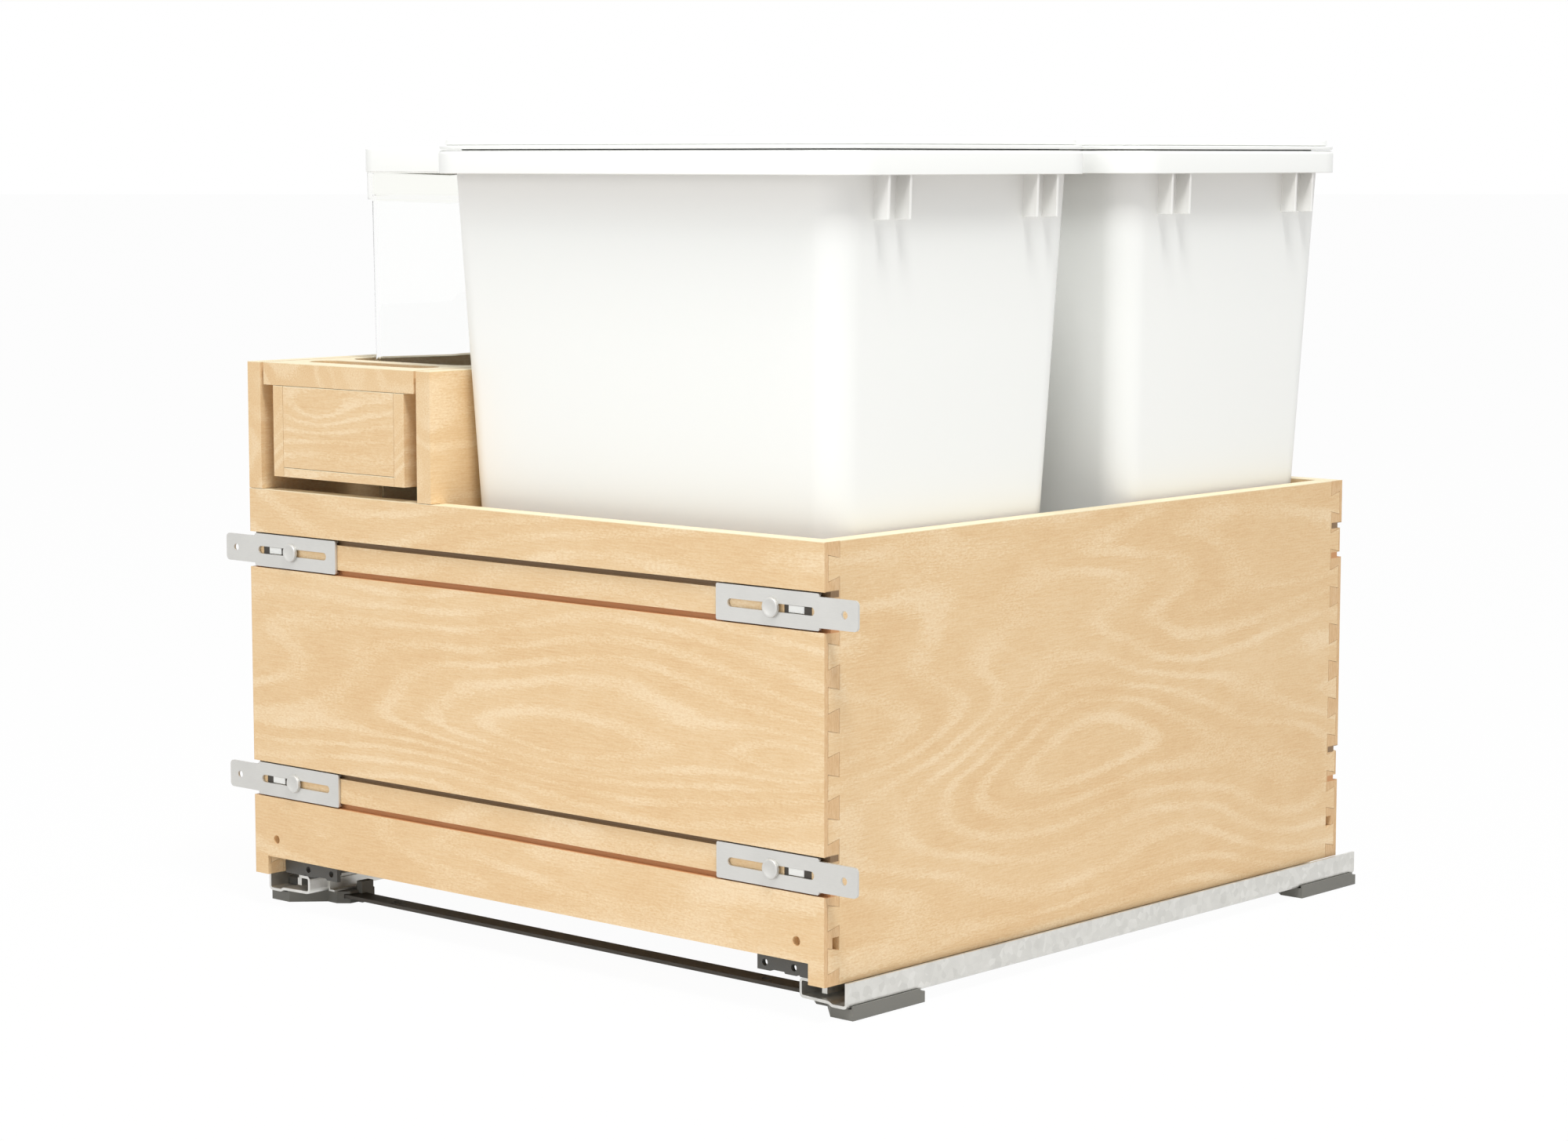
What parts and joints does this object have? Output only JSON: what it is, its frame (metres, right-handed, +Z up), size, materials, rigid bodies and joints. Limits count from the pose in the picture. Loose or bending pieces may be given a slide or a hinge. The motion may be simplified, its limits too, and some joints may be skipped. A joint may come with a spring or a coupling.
{
  "type": "pull out trash cabinet",
  "caption": "Pull-out waste unit for a base cabinet: a dovetailed wooden drawer box on undermount slides that holds lidded bins, a clear canister and a small storage box.",
  "frame": {"origin": "under the middle of the unit, on the plane its feet stand on, drawer closed", "axes": "+Z up, -Y towards the front of the drawer, +X to the right as seen from the front"},
  "size_m": [0.5578, 0.5522, 0.5106],
  "materials": {
    "birch": "clear satin lacquer",
    "galvanised": "galvanised sheet",
    "plated": "bright zinc plate",
    "dark_plastic": "fine texture",
    "foot_plastic": "fine texture",
    "bar_steel": "dark coating",
    "white_plastic": "satin moulded",
    "clear_plastic": "clear gloss"
  },
  "bodies": {
    "base": {"cabinet_rail_left": "galvanised", "cabinet_rail_right": "galvanised", "front_foot_left": "foot_plastic", "front_foot_right": "foot_plastic", "rear_foot_left": "foot_plastic", "rear_foot_right": "foot_plastic", "cross_bar": "bar_steel", "damper_left": "dark_plastic", "damper_right": "dark_plastic", "rail_stop_left": "dark_plastic", "rail_stop_right": "dark_plastic"},
    "drawer": {"front_panel": "birch", "back_panel": "birch", "left_side_panel": "birch", "right_side_panel": "birch", "bay_divider": "birch", "bottom_panel": "birch", "deck_cleat_left": "birch", "deck_cleat_right": "birch", "drawer_rail_left": "galvanised", "drawer_rail_right": "galvanised", "locking_device_left": "dark_plastic", "locking_device_right": "dark_plastic", "adjuster_lower_left": "white_plastic", "adjuster_upper_left": "white_plastic", "adjuster_lower_right": "white_plastic", "adjuster_upper_right": "white_plastic"},
    "insert": {"bay_deck": "birch", "caddy_left_side": "birch", "caddy_right_side": "birch", "caddy_front": "birch", "caddy_back": "birch", "caddy_floor": "birch"},
    "front_bin": {"front_bin": "white_plastic"},
    "front_bin_lid": {"front_bin_lid": "white_plastic"},
    "rear_bin": {"rear_bin": "white_plastic"},
    "rear_bin_lid": {"rear_bin_lid": "white_plastic"},
    "canister": {"canister": "clear_plastic"},
    "canister_lid": {"canister_lid": "white_plastic"},
    "middle_rail_left": {"middle_rail_left": "galvanised"},
    "middle_rail_right": {"middle_rail_right": "galvanised"},
    "lower_carriage_left": {"lower_carriage_left": "dark_plastic"},
    "lower_carriage_right": {"lower_carriage_right": "dark_plastic"},
    "upper_carriage_left": {"upper_carriage_left": "dark_plastic"},
    "upper_carriage_right": {"upper_carriage_right": "dark_plastic"},
    "door_bracket_lower_left": {"door_bracket_lower_left": "plated"},
    "door_bracket_upper_left": {"door_bracket_upper_left": "plated"},
    "door_bracket_lower_right": {"door_bracket_lower_right": "plated"},
    "door_bracket_upper_right": {"door_bracket_upper_right": "plated"},
    "cam_screw_lower_left": {"cam_screw_lower_left": "plated"},
    "cam_screw_upper_left": {"cam_screw_upper_left": "plated"},
    "cam_screw_lower_right": {"cam_screw_lower_right": "plated"},
    "cam_screw_upper_right": {"cam_screw_upper_right": "plated"},
    "release_lever_left": {"release_lever_left": "dark_plastic"},
    "release_lever_right": {"release_lever_right": "dark_plastic"}
  },
  "joints": [
    {"name": "drawer_slide", "type": "slide", "parent": "base", "child": "drawer", "axis": [0, -1, 0], "range_m": [0, 0.53]},
    {"name": "middle_rail_left_slide", "type": "slide", "parent": "base", "child": "middle_rail_left", "axis": [0, -1, 0], "range_m": [0, 0.265]},
    {"name": "middle_rail_right_slide", "type": "slide", "parent": "base", "child": "middle_rail_right", "axis": [0, -1, 0], "range_m": [0, 0.265]},
    {"name": "lower_carriage_left_roll", "type": "slide", "parent": "base", "child": "lower_carriage_left", "axis": [0, -1, 0], "range_m": [0, 0.1325]},
    {"name": "lower_carriage_right_roll", "type": "slide", "parent": "base", "child": "lower_carriage_right", "axis": [0, -1, 0], "range_m": [0, 0.1325]},
    {"name": "upper_carriage_left_roll", "type": "slide", "parent": "base", "child": "upper_carriage_left", "axis": [0, -1, 0], "range_m": [0, 0.3975]},
    {"name": "upper_carriage_right_roll", "type": "slide", "parent": "base", "child": "upper_carriage_right", "axis": [0, -1, 0], "range_m": [0, 0.3975]},
    {"name": "insert_lift", "type": "slide", "parent": "drawer", "child": "insert", "axis": [0, 0, 1], "range_m": [0, 0.095]},
    {"name": "front_bin_lift", "type": "slide", "parent": "drawer", "child": "front_bin", "axis": [0, 0, 1], "range_m": [0, 0.34]},
    {"name": "front_bin_lid_lift", "type": "slide", "parent": "front_bin", "child": "front_bin_lid", "axis": [0, 0, 1], "range_m": [0, 0.15]},
    {"name": "rear_bin_lift", "type": "slide", "parent": "drawer", "child": "rear_bin", "axis": [0, 0, 1], "range_m": [0, 0.34]},
    {"name": "rear_bin_lid_lift", "type": "slide", "parent": "rear_bin", "child": "rear_bin_lid", "axis": [0, 0, 1], "range_m": [0, 0.15]},
    {"name": "canister_lift", "type": "slide", "parent": "drawer", "child": "canister", "axis": [0, 0, 1], "range_m": [0, 0.34]},
    {"name": "canister_lid_lift", "type": "slide", "parent": "canister", "child": "canister_lid", "axis": [0, 0, 1], "range_m": [0, 0.12]},
    {"name": "bracket_lower_left_shift", "type": "slide", "parent": "drawer", "child": "door_bracket_lower_left", "axis": [-1, 0, 0], "range_m": [-0.008, 0.012]},
    {"name": "bracket_upper_left_shift", "type": "slide", "parent": "drawer", "child": "door_bracket_upper_left", "axis": [-1, 0, 0], "range_m": [-0.008, 0.012]},
    {"name": "bracket_lower_right_shift", "type": "slide", "parent": "drawer", "child": "door_bracket_lower_right", "axis": [1, 0, 0], "range_m": [-0.008, 0.012]},
    {"name": "bracket_upper_right_shift", "type": "slide", "parent": "drawer", "child": "door_bracket_upper_right", "axis": [1, 0, 0], "range_m": [-0.008, 0.012]},
    {"name": "cam_lower_left_turn", "type": "hinge", "parent": "drawer", "child": "cam_screw_lower_left", "pos_m": [-0.2129, -0.2739, 0.0867], "axis": [0, -1, 0], "range_deg": [0, 180]},
    {"name": "cam_upper_left_turn", "type": "hinge", "parent": "drawer", "child": "cam_screw_upper_left", "pos_m": [-0.2129, -0.2739, 0.2404], "axis": [0, -1, 0], "range_deg": [0, 180]},
    {"name": "cam_lower_right_turn", "type": "hinge", "parent": "drawer", "child": "cam_screw_lower_right", "pos_m": [0.2129, -0.2739, 0.0867], "axis": [0, -1, 0], "range_deg": [0, 180]},
    {"name": "cam_upper_right_turn", "type": "hinge", "parent": "drawer", "child": "cam_screw_upper_right", "pos_m": [0.2129, -0.2739, 0.2404], "axis": [0, -1, 0], "range_deg": [0, 180]},
    {"name": "release_lever_left_turn", "type": "hinge", "parent": "drawer", "child": "release_lever_left", "pos_m": [-0.2037, -0.2139, 0.0275], "axis": [0, 0, -1], "range_deg": [0, 5], "stiffness_Nm_per_rad": 0.08, "springref_deg": -11.46},
    {"name": "release_lever_right_turn", "type": "hinge", "parent": "drawer", "child": "release_lever_right", "pos_m": [0.2037, -0.2139, 0.0275], "axis": [0, 0, 1], "range_deg": [0, 5], "stiffness_Nm_per_rad": 0.08, "springref_deg": -11.46}
  ],
  "couplings": [
    {"joint": "middle_rail_left_slide", "follows": "drawer_slide", "ratio": 0.5},
    {"joint": "middle_rail_right_slide", "follows": "drawer_slide", "ratio": 0.5},
    {"joint": "lower_carriage_left_roll", "follows": "drawer_slide", "ratio": 0.25},
    {"joint": "lower_carriage_right_roll", "follows": "drawer_slide", "ratio": 0.25},
    {"joint": "upper_carriage_left_roll", "follows": "drawer_slide", "ratio": 0.75},
    {"joint": "upper_carriage_right_roll", "follows": "drawer_slide", "ratio": 0.75}
  ]
}
